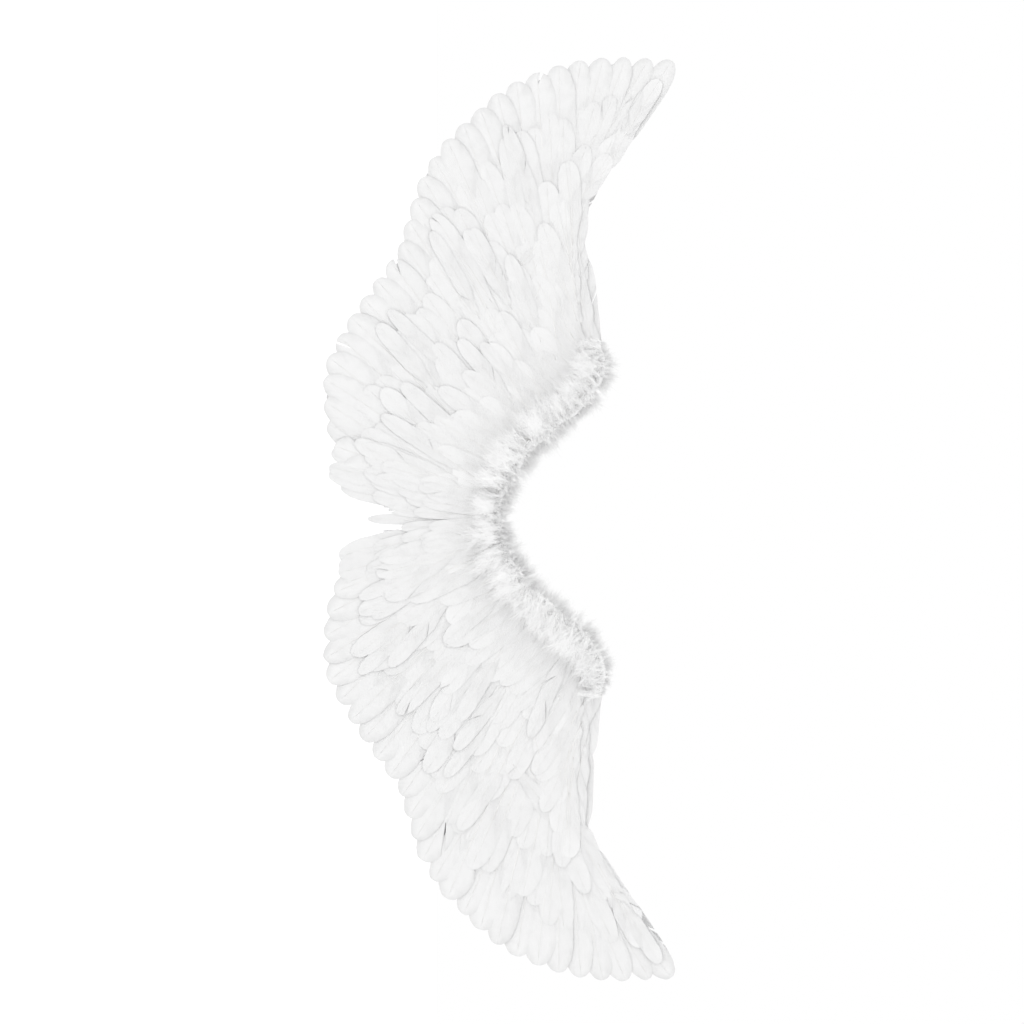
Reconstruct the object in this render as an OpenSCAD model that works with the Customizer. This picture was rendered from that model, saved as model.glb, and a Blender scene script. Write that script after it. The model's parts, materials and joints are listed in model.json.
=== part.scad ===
// Feathered costume wings that fold back on a spine, worn with two elastic arm loops.
// +X is the right-hand wing as seen from behind the wearer, +Y points to the wearer, +Z is up.
// The origin is the middle of the pad face that rests on the wearer's back.
// Depths are counted from the hinge axes: a positive depth is on the display side, towards -Y.

/* [Wings] */
// Distance from the middle of the object to a wing's outermost feather tip
wing_reach = 504; // [420:2:600]
// Height from the lowest feather tip to the highest
wing_height = 400; // [330:5:480]
// How far the stiff panel stops short of the feather tips
panel_inset = 72; // [55:1:90]

/* [Feathers] */
// Length of the flight feathers in the outer row
flight_length = 135; // [105:1:165]
// Width of the flight feathers
flight_width = 38; // [28:1:46]
// Distance between flight feather tips along the wing's edge
flight_pitch = 32; // [30:1:44]
// Length of the cover feathers in the row next to the flight feathers
cover_length = 112; // [90:1:135]
// Width of the cover feathers
cover_width = 34; // [24:1:40]
// Distance between cover feather tips along their row
cover_pitch = 28; // [27:1:38]
// Visible length of each row of feathers before the next row covers it
row_step = 54; // [42:1:62]
// Thickness of one feather blade
blade = 0.4; // [0.3:0.05:0.45]

/* [Frame] */
// Diameter of the steel frame wire
wire_d = 2.5; // [2:0.1:3]
// Thickness of the stiff base panel
panel_t = 1.25; // [0.8:0.05:1.5]
// Thickness of the backing cloth
cloth_t = 0.8; // [0.4:0.1:0.9]
// Diameter of the trim's dense middle along the leading edge
trim_d = 14; // [9:1:15]

/* [Spine] */
// Distance from the middle of the object to each hinge axis
hinge_x = 16; // [16:0.5:22]
// Diameter of each hinge rod
rod_d = 3; // [2.5:0.1:3.6]
// Outer diameter of the hinge barrels and lugs
barrel_d = 7; // [6.4:0.1:7.4]
// Thickness of the spine plate
plate_t = 2; // [1.5:0.1:3]

/* [Harness] */
// Width of the pad across the back
pad_w = 92; // [84:1:110]
// Height of the pad
pad_h = 84; // [70:1:100]
// Thickness of the pad
pad_t = 8.4; // [6:0.1:12]
// Width of the elastic straps
strap_w = 25; // [18:1:28]
// Thickness of the elastic straps
strap_t = 1.5; // [1:0.1:1.8]
// How far each arm loop stands forward of the pad
strap_reach = 100; // [90:1:140]

/* [Hidden] */
SIDES = ["left", "right"];
WING_PARTS = ["hinge_barrels", "frame_wire", "stay_wires", "wire_tapes", "base_panel", "backing_cloth",
    "flight_feathers", "second_row_feathers", "third_row_feathers", "fourth_row_feathers",
    "fifth_row_feathers", "back_flight_feathers", "back_middle_feathers", "back_upper_feathers",
    "lead_edge_feathers", "trim"];
SPINE_PARTS = ["spine_plate", "left_hinge_rod", "right_hinge_rod", "rod_caps", "pad_back", "pad_foam",
    "pad_cover", "pad_binding", "left_strap", "right_strap", "strap_rivets", "centre_feathers",
    "centre_trim"];
$fn = 48;

gap = 0.3;          // between pieces that only lie beside each other
running = 0.05;     // radial clearance of the barrels on their rod
snug = 0.02;        // radial clearance of a rod held in its lugs
skin = 0.05;        // between two pieces that are glued together
level = blade + skin;

// Depths, from the wearer's side to the display side
rail_h = strap_t + 0.8;
plate_gap = 4.6;
axis_y = -(pad_t + rail_h + plate_t + plate_gap);
panel_front = -(wire_d / 2 + skin);
panel_back = panel_front - panel_t;
cloth_front = panel_back - skin;
cloth_back = cloth_front - cloth_t;
ferrule_d = wire_d + 1.9;
feather_base = ferrule_d / 2 + skin;
flight_levels = 3;
cover_levels = 2;
cover_rows = 4;
feather_top = feather_base + (flight_levels + cover_rows * cover_levels) * level;

// The spine, from top to bottom
plate_w = pad_w - 8;
plate_h = pad_h - 8;
rod_length = plate_h - 4;
rod_top = plate_h / 2;
rod_bottom = rod_top - rod_length;
cap_h = 2;
lug_h = 6;
barrel_h = 14;
lug_zs = [rod_top - cap_h - lug_h, (rod_top + rod_bottom - lug_h) / 2, rod_bottom + cap_h];
barrel_zs = [for (i = [0, 1]) (lug_zs[i] + lug_zs[i + 1] + lug_h) / 2];
inner_x = hinge_x + barrel_d / 2 + 0.5;
ferrule_end = inner_x + 16;
ferrule_grip = 10;

// The trim and the leading edge. A wing's plane points are [x, z].
trim_depth = 3.5;
lead_root_z = rod_top + trim_d / 2 + 8;
edge_inset = trim_d / 2 - 1.4;
wire_inset = trim_d / 2 + 7.3;
root_inset = trim_d / 2 + 3.8;

// Leading edge: [share of the reach, share of the height above the edge's root]
LEAD = [[0, 0], [0.07, 0.045], [0.135, 0.103], [0.185, 0.185], [0.23, 0.245], [0.275, 0.28], [0.32, 0.285],
    [0.355, 0.265], [0.4, 0.25], [0.445, 0.245], [0.545, 0.23], [0.615, 0.225], [0.68, 0.245],
    [0.75, 0.3], [0.82, 0.355], [0.885, 0.41], [0.95, 0.47]];
// Last leading edge point that carries the trim, and the last that the panel reaches
trim_last = 6.9;
panel_last = 14.2;

// Feather tips from the middle of the object to the wing's tip: [share of the reach, share of the
// height, heading in degrees from straight down]
TIPS = [[0.03, -0.395, 5], [0.095, -0.43, 15], [0.165, -0.46, 24], [0.24, -0.47, 31], [0.31, -0.465, 37],
    [0.38, -0.425, 43], [0.445, -0.375, 48], [0.515, -0.315, 52], [0.58, -0.26, 55], [0.66, -0.23, 58],
    [0.735, -0.2, 61], [0.805, -0.145, 65], [0.865, -0.07, 70], [0.925, 0.015, 77], [0.965, 0.115, 86],
    [0.99, 0.225, 97], [0.997, 0.335, 111], [0.99, 0.475, 126]];

function unit(v) = v / norm(v);
function ahead(heading) = [sin(heading), -cos(heading)];
function across(heading) = [cos(heading), sin(heading)];
function last(v) = v[len(v) - 1];
function reversed(v) = [for (i = [len(v) - 1:-1:0]) v[i]];
function evenly(count, low, high) = [for (i = [0:count - 1]) low + (high - low) * i / (count - 1)];

// A smooth curve through the points of p, at t from 0 to the last index
function spline(p, t) =
    let (i = min(floor(t), len(p) - 2), f = t - i,
        a = p[max(i - 1, 0)], b = p[i], c = p[i + 1], d = p[min(i + 2, len(p) - 1)])
    (2 * b + (c - a) * f + (2 * a - 5 * b + 4 * c - d) * f * f + (3 * b - a - 3 * c + d) * f * f * f) / 2;

function wing_x(share) = inner_x + share * (wing_reach - inner_x);
function wing_z(share) = lead_root_z + share * wing_height;
function wing_point(p) = [wing_x(p[0]), wing_z(p[1])];

function lead_at(t) = wing_point(spline(LEAD, t));
function lead_inward(t) =
    let (low = max(t - 0.05, 0), high = min(t + 0.05, len(LEAD) - 1), d = unit(lead_at(high) - lead_at(low)))
    [d[1], -d[0]];
function lead_inset(t, inset) = lead_at(t) + inset * lead_inward(t);

function tip_at(t, inset) = let (p = spline(TIPS, t)) wing_point(p) - inset * ahead(p[2]);
function heading_at(t) = spline(TIPS, t)[2];

// How far a line can run back from a feather's tip and stay this far below the leading edge
LEAD_LINE = [for (t = evenly(120, 0, len(LEAD) - 1)) lead_at(t)];
function in_sheet(p, below) = p[0] > inner_x + 4 && p[1] < lookup(p[0], LEAD_LINE) - below;
function room_at(t, below = 1.25 * root_inset) =
    let (tip = tip_at(t, 0), way = ahead(heading_at(t)))
    max([for (s = [60:4:wing_height]) if (in_sheet(tip - s * way, below)) s]);

// Parameters of the curve, a function of one parameter, that lie about pitch apart along it
function along(curve, pitch, first, final) =
    let (steps = 90, ts = evenly(steps + 1, first, final), points = [for (t = ts) curve(t)],
        sums = [for (i = 0, s = 0; i <= steps; s = i < steps ? s + norm(points[i + 1] - points[i]) : s,
            i = i + 1) s],
        count = floor(last(sums) / pitch) + 1, table = [for (i = [0:steps]) [sums[i], ts[i]]])
    [for (i = [0:count - 1]) lookup(last(sums) * i / (count - 1), table)];

// A blade's outline: [share of the length, share of half the width]
BLADE = [[0, 0.06], [0.14, 0.08], [0.26, 0.6], [0.46, 0.93], [0.7, 1], [0.87, 0.9], [0.965, 0.52]];
module blade_outline(tip, heading, length, width) {
    root = tip - length * ahead(heading);
    function edge(side) = [for (b = BLADE)
        root + b[0] * length * ahead(heading) + side * b[1] * width / 2 * across(heading)];
    polygon(concat(edge(1), [tip], reversed(edge(-1))));
}

// Its 2D children in the wing's plane, from one depth to another
module slab(back, front) {
    translate([0, axis_y - back, 0]) rotate([90, 0, 0]) linear_extrude(front - back) children();
}

// One row of separate blades. side is 1 on the display side and -1 on the wearer's side.
module feather_row(inset, length, width, pitch, base, levels, side = 1, shortest = 36) {
    places = along(function(t) tip_at(t, inset), pitch, 0, len(TIPS) - 1);
    for (i = [0:len(places) - 1]) {
        t = places[i];
        tip = tip_at(t, inset);
        long = min(length, room_at(t) - inset);
        from = base + side * (i % levels) * level;
        beside = tip[0] - 0.3 * long * sin(heading_at(t)) - inner_x;
        wide = min(width, 2 * beside);
        if (long >= shortest && clear_of_pad(tip, heading_at(t), long, wide, side))
            slab(min(from, from + side * blade), max(from, from + side * blade))
                blade_outline(tip, heading_at(t), long, wide);
    }
}

// On the wearer's side, no blade lies over the pad
function clear_of_pad(tip, heading, length, width, side) =
    side > 0 || min([for (share = [0:0.1:1]) let (p = tip - share * length * ahead(heading))
        max(p[0] - pad_w / 2, pad_bottom - p[1])]) > width / 2 + 2;

// A round bar through the points of a path in the wing's plane
module bar(path, d, depth, sides) {
    n = len(path);
    points = [for (i = [0:n - 1])
        let (t = unit(path[min(i + 1, n - 1)] - path[max(i - 1, 0)]), side = [-t[1], t[0]])
        for (k = [0:sides - 1])
            let (p = path[i] + d / 2 * cos(360 * k / sides) * side)
            [p[0], axis_y - depth + d / 2 * sin(360 * k / sides), p[1]]];
    walls = [for (i = [0:n - 2]) for (k = [0:sides - 1])
        let (a = i * sides, m = (k + 1) % sides) [a + k, a + m, a + sides + m, a + sides + k]];
    ends = [[for (k = [sides - 1:-1:0]) k], [for (k = [0:sides - 1]) (n - 1) * sides + k]];
    polyhedron(points, concat(walls, ends));
}

// A plate with rounded corners, facing Y, between two Y values
module rounded_slab(w, h, r, low, high) {
    translate([0, high, 0]) rotate([90, 0, 0]) linear_extrude(high - low) {
        square([w - 2 * r, h], center = true);
        square([w, h - 2 * r], center = true);
        for (x = [-1, 1], z = [-1, 1])
            translate([x * (w / 2 - r), z * (h / 2 - r)]) circle(r);
    }
}

module on_rods(zs) {
    for (side = [-1, 1], z = zs) translate([side * hinge_x, axis_y, z]) children();
}

// ---- Spine and harness ----

pad_top = pad_h / 2;
pad_bottom = -pad_h / 2;
pad_corner = 12;
felt = 0.8;
plate_back = -(pad_t + rail_h);
rail_w = 3.5;
strap_x = plate_w / 2 - rail_w - 1 - strap_w / 2;
strap_mid = -(pad_t + rail_h) + 0.1 + strap_t / 2;
rivet_d = 3;
rivet_head = 6;
rivet_zs = [lug_zs[0] - rivet_head / 2 - 1, lug_zs[2] + lug_h + rivet_head / 2 + 1];

module spine_plate() {
    rib_w = hinge_x - barrel_d / 2 - 5;
    color("whitesmoke") difference() {
        union() {
            rounded_slab(plate_w, plate_h, pad_corner - 4, plate_back - plate_t, plate_back);
            for (x = [-plate_w / 2 + rail_w / 2, 0, plate_w / 2 - rail_w / 2])
                translate([x - rail_w / 2, plate_back - 0.5, pad_bottom + 16])
                    cube([rail_w, rail_h + 0.5, pad_h - 32]);
            translate([-rib_w / 2, axis_y - feather_base + skin, rod_bottom + 1])
                cube([rib_w, plate_gap + feather_base, lead_root_z - trim_d / 2 - skin - rod_bottom - 1]);
            on_rods(lug_zs) {
                cylinder(d = barrel_d, h = lug_h);
                translate([-barrel_d / 2, 0, 0]) cube([barrel_d, plate_gap + 0.5, lug_h]);
            }
        }
        on_rods([rod_bottom - 1]) cylinder(d = rod_d + 2 * snug, h = rod_length + 2);
        strap_holes(plate_back - plate_t - 1, 2 * plate_t);
    }
}

module strap_holes(low, length) {
    for (side = [-1, 1], z = rivet_zs, x = [-1, 1])
        translate([side * strap_x + x * strap_w / 4, low, z])
            rotate([-90, 0, 0]) cylinder(d = rivet_d + 0.2, h = length);
}

module hinge_rod(side) {
    color("silver") translate([side * hinge_x, axis_y, rod_bottom]) cylinder(d = rod_d, h = rod_length);
}

module rod_caps() {
    color("gainsboro") on_rods([rod_top - cap_h + 0.1, rod_bottom - 0.1]) difference() {
        cylinder(d = barrel_d - 1, h = cap_h);
        translate([0, 0, -1]) cylinder(d = rod_d + 2 * snug, h = cap_h + 2);
    }
}

module strap_rivets() {
    head_h = 0.6;
    color("silver") for (side = [-1, 1], z = rivet_zs, x = [-1, 1])
        translate([side * strap_x + x * strap_w / 4, plate_back - plate_t, z]) rotate([-90, 0, 0]) {
            translate([0, 0, -head_h]) cylinder(d = rivet_head, h = head_h);
            cylinder(d = rivet_d, h = plate_t + 0.1 + strap_t);
            translate([0, 0, plate_t + 0.1 + strap_t]) cylinder(d = rivet_head, h = head_h - 0.1);
        }
}

module pad_back() {
    color("white") rounded_slab(pad_w - 2 * felt - 0.2, pad_h - 2 * felt - 0.2, pad_corner - felt,
        -pad_t, -pad_t + felt);
}

module pad_foam() {
    color("lightyellow") rounded_slab(pad_w - 2 * felt - 0.2, pad_h - 2 * felt - 0.2, pad_corner - felt,
        -pad_t + felt + skin, -felt - skin);
}

module pad_cover() {
    color("white") difference() {
        rounded_slab(pad_w, pad_h, pad_corner, -pad_t, 0);
        rounded_slab(pad_w - 2 * felt, pad_h - 2 * felt, pad_corner - felt, -pad_t - 1, -felt);
    }
}

module pad_binding() {
    binding = 1.6;
    color("gainsboro") difference() {
        rounded_slab(pad_w + 2 * binding, pad_h + 2 * binding, pad_corner + binding, -pad_t + 1, -pad_t + 5);
        rounded_slab(pad_w + 2 * skin, pad_h + 2 * skin, pad_corner + skin, -pad_t, -pad_t + 6);
    }
}

// The strap's middle line as [y, z]: up from under the pad, forward, down and back to the pad
strap_bend = 8;
function strap_line() =
    let (nodes = [[strap_mid, rivet_zs[0] - 9], [strap_mid, pad_top - 3],
            [strap_mid + 0.1 * strap_bend, pad_top + 0.3 * strap_bend],
            [strap_mid + 0.6 * strap_bend, pad_top + 0.95 * strap_bend],
            [strap_mid + 2 * strap_bend, pad_top + 1.15 * strap_bend],
            [0.5 * strap_reach, 0.95 * pad_top], [0.85 * strap_reach, 0.3 * pad_top],
            [strap_reach, 0.6 * pad_bottom], [0.85 * strap_reach, 1.5 * pad_bottom],
            [0.5 * strap_reach, 1.75 * pad_bottom],
            [strap_mid + 2.4 * strap_bend, 1.55 * pad_bottom],
            [strap_mid + 0.6 * strap_bend, pad_bottom - 0.95 * strap_bend],
            [strap_mid + 0.1 * strap_bend, pad_bottom - 0.3 * strap_bend],
            [strap_mid, pad_bottom + 3], [strap_mid, rivet_zs[1] + 9]],
        final = len(nodes) - 1)
    [for (i = [0:60]) spline(nodes, final * i / 60)];

module strap(side) {
    line = strap_line();
    n = len(line);
    function beside(out) = [for (i = [0:n - 1])
        let (t = unit(line[min(i + 1, n - 1)] - line[max(i - 1, 0)])) line[i] + out * strap_t / 2 * [-t[1], t[0]]];
    color("snow") difference() {
        translate([side * strap_x - strap_w / 2, 0, 0]) rotate([90, 0, 90])
            linear_extrude(strap_w) polygon(concat(beside(1), reversed(beside(-1))));
        strap_holes(plate_back - 1, strap_t + 2);
    }
}

module centre_feathers() {
    half = hinge_x - feather_top - 0.5;
    color("white") for (i = [0:2]) {
        length = [126, 92, 60][i];
        slab(feather_base + i * level, feather_base + i * level + blade)
            blade_outline([0, rod_top - length], 0, length, 2 * half);
    }
}

module centre_trim() {
    half = hinge_x - trim_depth - trim_d / 2 - 0.6;
    color("white") translate([-half, axis_y - trim_depth, lead_root_z])
        rotate([0, 90, 0]) cylinder(d = trim_d, h = 2 * half);
}

// ---- One wing, on the +X side ----

module hinge_barrels() {
    color("silver") for (z = barrel_zs) translate([0, axis_y, z]) difference() {
        union() {
            translate([hinge_x, 0, -barrel_h / 2]) cylinder(d = barrel_d, h = barrel_h);
            translate([hinge_x, 0, 0]) rotate([0, 90, 0]) cylinder(d = ferrule_d, h = ferrule_end - hinge_x);
        }
        translate([hinge_x, 0, -barrel_h]) cylinder(d = rod_d + 2 * running, h = 2 * barrel_h);
        translate([ferrule_end - ferrule_grip, 0, 0]) rotate([0, 90, 0])
            cylinder(d = wire_d + 2 * skin, h = ferrule_grip + 1);
    }
}

// The frame wire's line: out of the upper barrel, round the panel inside its edge, into the lower one
function wire_line() =
    let (start = ferrule_end - ferrule_grip + 1, out = ferrule_end + 3,
        nodes = concat([[start, barrel_zs[0]], [out, barrel_zs[0]]],
            [for (t = [2:1.25:panel_last - 0.6]) lead_inset(t, wire_inset)],
            [for (t = [len(TIPS) - 3:-1.25:1.6]) tip_at(t, panel_inset + 9)],
            [[out, barrel_zs[1]], [start, barrel_zs[1]]]),
        final = len(nodes) - 1)
    concat([nodes[0]], [for (i = [0:84]) spline(nodes, 1 + (final - 2) * i / 84)], [nodes[final]]);

module frame_wire() {
    color("silver") bar(wire_line(), wire_d, 0, 8);
}

// Straight stays from the trailing run of the frame wire towards its leading run, clear of the wire's
// first run up from the barrels
STAYS = [5.5, 8, 11.2];
stay_start_x = ferrule_end + 28;
function stay_ends(t) = [panel_inset + 9 + 4 * wire_d,
    min(room_at(t, 2.4 * wire_inset), (tip_at(t, 0)[0] - stay_start_x) / sin(heading_at(t)))];
module stay_wires() {
    color("silver") for (t = STAYS) let (ends = stay_ends(t))
        bar([tip_at(t, ends[0]), tip_at(t, ends[1])], wire_d - 0.5, 0, 8);
}

// Gummed tape over the wire, in the shape of a low hat
module wire_tapes() {
    line = wire_line();
    foot = 7;
    thick = 0.3;
    low = panel_front + skin / 2;
    high = wire_d / 2 + 0.15;
    half = wire_d / 2 + 0.9;
    color("oldlace") for (i = [9:8:len(line) - 8]) {
        t = unit(line[i + 1] - line[i - 1]);
        translate([line[i][0], axis_y, line[i][1]]) rotate([0, -atan2(t[1], t[0]), 0])
            rotate([90, 0, 90]) linear_extrude(10, center = true) polygon([
                [-low, -foot], [-low, -half - thick], [-high, -half], [-high, half], [-low, half + thick],
                [-low, foot], [-low - thick, foot], [-low - thick, half + 2 * thick],
                [-high - thick, half + thick], [-high - thick, -half - thick],
                [-low - thick, -half - 2 * thick], [-low - thick, -foot]]);
    }
}

// The stiff sheet's outline, grown or shrunk at the trailing edge
function sheet_outline(inset) = concat(
    [for (t = evenly(40, 0, panel_last)) lead_inset(t, edge_inset)],
    [for (t = evenly(40, len(TIPS) - 1.6, 0)) tip_at(t, inset)],
    [[inner_x, tip_at(0, inset)[1]]]);

module base_panel() {
    color("ivory") difference() {
        slab(panel_back, panel_front) intersection() {
            polygon(sheet_outline(panel_inset));
            translate([inner_x, -wing_height]) square([wing_reach, 2 * wing_height]);
        }
        for (z = barrel_zs) translate([inner_x - 1, axis_y - wire_d, z - ferrule_d / 2 - gap])
            cube([ferrule_end + gap - inner_x + 1, 2 * wire_d + panel_t, ferrule_d + 2 * gap]);
    }
}

module backing_cloth() {
    color("white") slab(cloth_back, cloth_front) intersection() {
        polygon(sheet_outline(panel_inset - 3));
        translate([inner_x, -wing_height]) square([wing_reach, 2 * wing_height]);
    }
}

module flight_feathers() {
    color("white") feather_row(0, flight_length, flight_width, flight_pitch, feather_base, flight_levels);
}

// Cover rows lie one over the next, each a little shorter than the one before
module cover_row(row) {
    shrink = [1, 0.95, 0.88, 0.8];
    color("white") feather_row(row * row_step, cover_length * shrink[row - 1], cover_width, cover_pitch,
        feather_base + (flight_levels + (row - 1) * cover_levels) * level, cover_levels);
}

// The shortest covers, rooted along the trim and the leading edge, further in where the trim turns down
function root_line(t) = lead_inset(t, trim_d / 2 + gap + lookup(t, [[3.5, 0], [5.5, 11], [8, 4]]));
module root_row() {
    length = 0.62 * cover_length;
    base = feather_base + (flight_levels + (cover_rows - 1) * cover_levels) * level;
    places = along(function(t) root_line(t), 0.8 * cover_pitch, 0.7, 10.4);
    color("white") for (i = [0:len(places) - 1]) {
        root = root_line(places[i]);
        heading = 10 + 54 * root[0] / (0.4 * wing_reach);
        from = base + (i % cover_levels) * level;
        slab(from, from + blade)
            blade_outline(root + length * ahead(heading), heading, length, 0.85 * cover_width);
    }
}

module back_row(row) {
    insets = [14, row_step + 22, 2 * row_step + 34];
    lengths = [flight_length - 12, cover_length, cover_length * 0.9];
    color("white") feather_row(insets[row], lengths[row], cover_width, cover_pitch + 3,
        cloth_back - skin - row * cover_levels * level, cover_levels, -1);
}

// A few blades along the leading edge on the wearer's side, pointing to the wing's tip
module lead_edge_feathers() {
    first = cloth_back - skin - 3 * cover_levels * level;
    places = [[10.1, 84], [12.2, 95], [13.6, 112], [14.8, 122], [15.7, 124]];
    color("white") for (i = [0:len(places) - 1]) {
        depth = first - (i % 3) * level;
        slab(depth - blade, depth)
            blade_outline(lead_inset(places[i][0], 4), places[i][1], 105, cover_width - 6);
    }
}

module trim() {
    color("white") bar([for (t = evenly(26, 0.06, trim_last)) lead_at(t)], trim_d, trim_depth, 10);
}

module wing_part(name) {
    if (name == "hinge_barrels") hinge_barrels();
    if (name == "frame_wire") frame_wire();
    if (name == "stay_wires") stay_wires();
    if (name == "wire_tapes") wire_tapes();
    if (name == "base_panel") base_panel();
    if (name == "backing_cloth") backing_cloth();
    if (name == "flight_feathers") flight_feathers();
    if (name == "second_row_feathers") cover_row(1);
    if (name == "third_row_feathers") cover_row(2);
    if (name == "fourth_row_feathers") cover_row(3);
    if (name == "fifth_row_feathers") root_row();
    if (name == "back_flight_feathers") back_row(0);
    if (name == "back_middle_feathers") back_row(1);
    if (name == "back_upper_feathers") back_row(2);
    if (name == "lead_edge_feathers") lead_edge_feathers();
    if (name == "trim") trim();
}

spine_plate();
hinge_rod(-1);  // left_hinge_rod
hinge_rod(1);  // right_hinge_rod
rod_caps();
pad_back();
pad_foam();
pad_cover();
pad_binding();
strap(-1);  // left_strap
strap(1);  // right_strap
strap_rivets();
centre_feathers();
centre_trim();
for (part = WING_PARTS) {
    wing_part(part);
    mirror([1, 0, 0]) wing_part(part);
}
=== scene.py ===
# Looks of the feathered costume wings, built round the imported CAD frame. Lengths are in metres.
import json
import math
import random

import bmesh
import bpy
import numpy as np
from mathutils import Matrix, Vector


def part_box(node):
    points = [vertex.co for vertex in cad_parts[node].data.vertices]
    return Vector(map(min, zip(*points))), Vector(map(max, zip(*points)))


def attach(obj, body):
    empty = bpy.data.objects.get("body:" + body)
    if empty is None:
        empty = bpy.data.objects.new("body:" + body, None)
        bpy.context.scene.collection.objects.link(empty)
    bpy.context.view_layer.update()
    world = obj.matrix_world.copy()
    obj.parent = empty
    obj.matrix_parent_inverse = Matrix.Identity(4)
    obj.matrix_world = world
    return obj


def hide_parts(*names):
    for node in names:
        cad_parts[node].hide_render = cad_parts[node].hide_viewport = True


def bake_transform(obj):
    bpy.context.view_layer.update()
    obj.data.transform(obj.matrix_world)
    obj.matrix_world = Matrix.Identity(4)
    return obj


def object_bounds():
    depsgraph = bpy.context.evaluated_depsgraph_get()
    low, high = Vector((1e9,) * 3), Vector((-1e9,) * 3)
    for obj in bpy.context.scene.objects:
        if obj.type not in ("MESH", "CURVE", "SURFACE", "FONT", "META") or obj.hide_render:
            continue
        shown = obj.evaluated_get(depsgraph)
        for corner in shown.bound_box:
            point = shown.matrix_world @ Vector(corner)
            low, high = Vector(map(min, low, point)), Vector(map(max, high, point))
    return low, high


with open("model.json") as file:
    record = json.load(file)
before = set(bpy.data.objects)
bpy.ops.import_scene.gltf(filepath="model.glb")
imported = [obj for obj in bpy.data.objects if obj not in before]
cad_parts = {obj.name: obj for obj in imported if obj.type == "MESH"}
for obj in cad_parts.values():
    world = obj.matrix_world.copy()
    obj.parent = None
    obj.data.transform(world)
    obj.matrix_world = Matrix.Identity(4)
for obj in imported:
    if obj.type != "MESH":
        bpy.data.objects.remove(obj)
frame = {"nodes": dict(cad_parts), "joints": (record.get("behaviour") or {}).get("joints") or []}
CAD_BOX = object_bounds()

MM = 0.001
SIDES = {"left": -1, "right": 1}
FOLD = {s: next(j for j in frame["joints"] if j["name"] == s + "_fold") for s in SIDES}
AXIS_Y = FOLD["right"]["pos_m"][1]
HINGE_X = FOLD["right"]["pos_m"][0]
DISPLAY = Vector((0, -1, 0))
WEARER = Vector((0, 1, 0))


# ---- Helpers ----

def lerp(a, b, t):
    """The value at share t of the way from a to b."""
    return a + (b - a) * t


def clamp(t, low=0.0, high=1.0):
    return max(low, min(high, t))


def smooth(t):
    """Rises from 0 to 1 with level ends."""
    t = clamp(t)
    return t * t * (3 - 2 * t)


def add_object(name, data):
    obj = bpy.data.objects.new(name, data)
    bpy.context.scene.collection.objects.link(obj)
    return obj


def put(obj, slot, body, *replaced):
    """Attaches a piece to its body and hides the CAD nodes that it stands for; the slot is not used. A piece
    that crosses between two bodies has None for its body."""
    if body:
        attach(obj, body)
    if replaced:
        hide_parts(*replaced)


class Soup:
    """Points, faces and point values of one piece while it is being built."""

    DEFAULT = 0.5

    def __init__(self, *values):
        self.points = []
        self.faces = []
        self.values = {v: [] for v in values}

    def add(self, points, faces, **values):
        start = len(self.points)
        self.points.extend(points)
        self.faces.extend([tuple(start + k for k in f) for f in faces])
        for name, kept in self.values.items():
            given = values.get(name, self.DEFAULT)
            kept.extend(given if isinstance(given, list) else [given] * len(points))

    def piece(self, name, material):
        mesh = bpy.data.meshes.new(name)
        mesh.from_pydata([tuple(p) for p in self.points], [], self.faces)
        for name_of_value, kept in self.values.items():
            mesh.attributes.new(name_of_value, "FLOAT", "POINT").data.foreach_set("value", kept)
        mesh.polygons.foreach_set("use_smooth", [True] * len(mesh.polygons))
        mesh.materials.append(material)
        mesh.update()
        return add_object(name, mesh)


def grid_faces(rows, columns, closed=False):
    """Quads of a grid of points that is rows by columns, joined round its columns if closed."""
    last = columns if closed else columns - 1
    return [(r * columns + c, r * columns + (c + 1) % columns,
             (r + 1) * columns + (c + 1) % columns, (r + 1) * columns + c)
            for r in range(rows - 1) for c in range(last)]


def bar_faces(rings, sides):
    """Faces of a bar of rings of points, closed at both ends."""
    last = sides * (rings - 1)
    return grid_faces(rings, sides, True) + [tuple(range(sides))[::-1], tuple(range(last, last + sides))]


# ---- Materials ----

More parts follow.
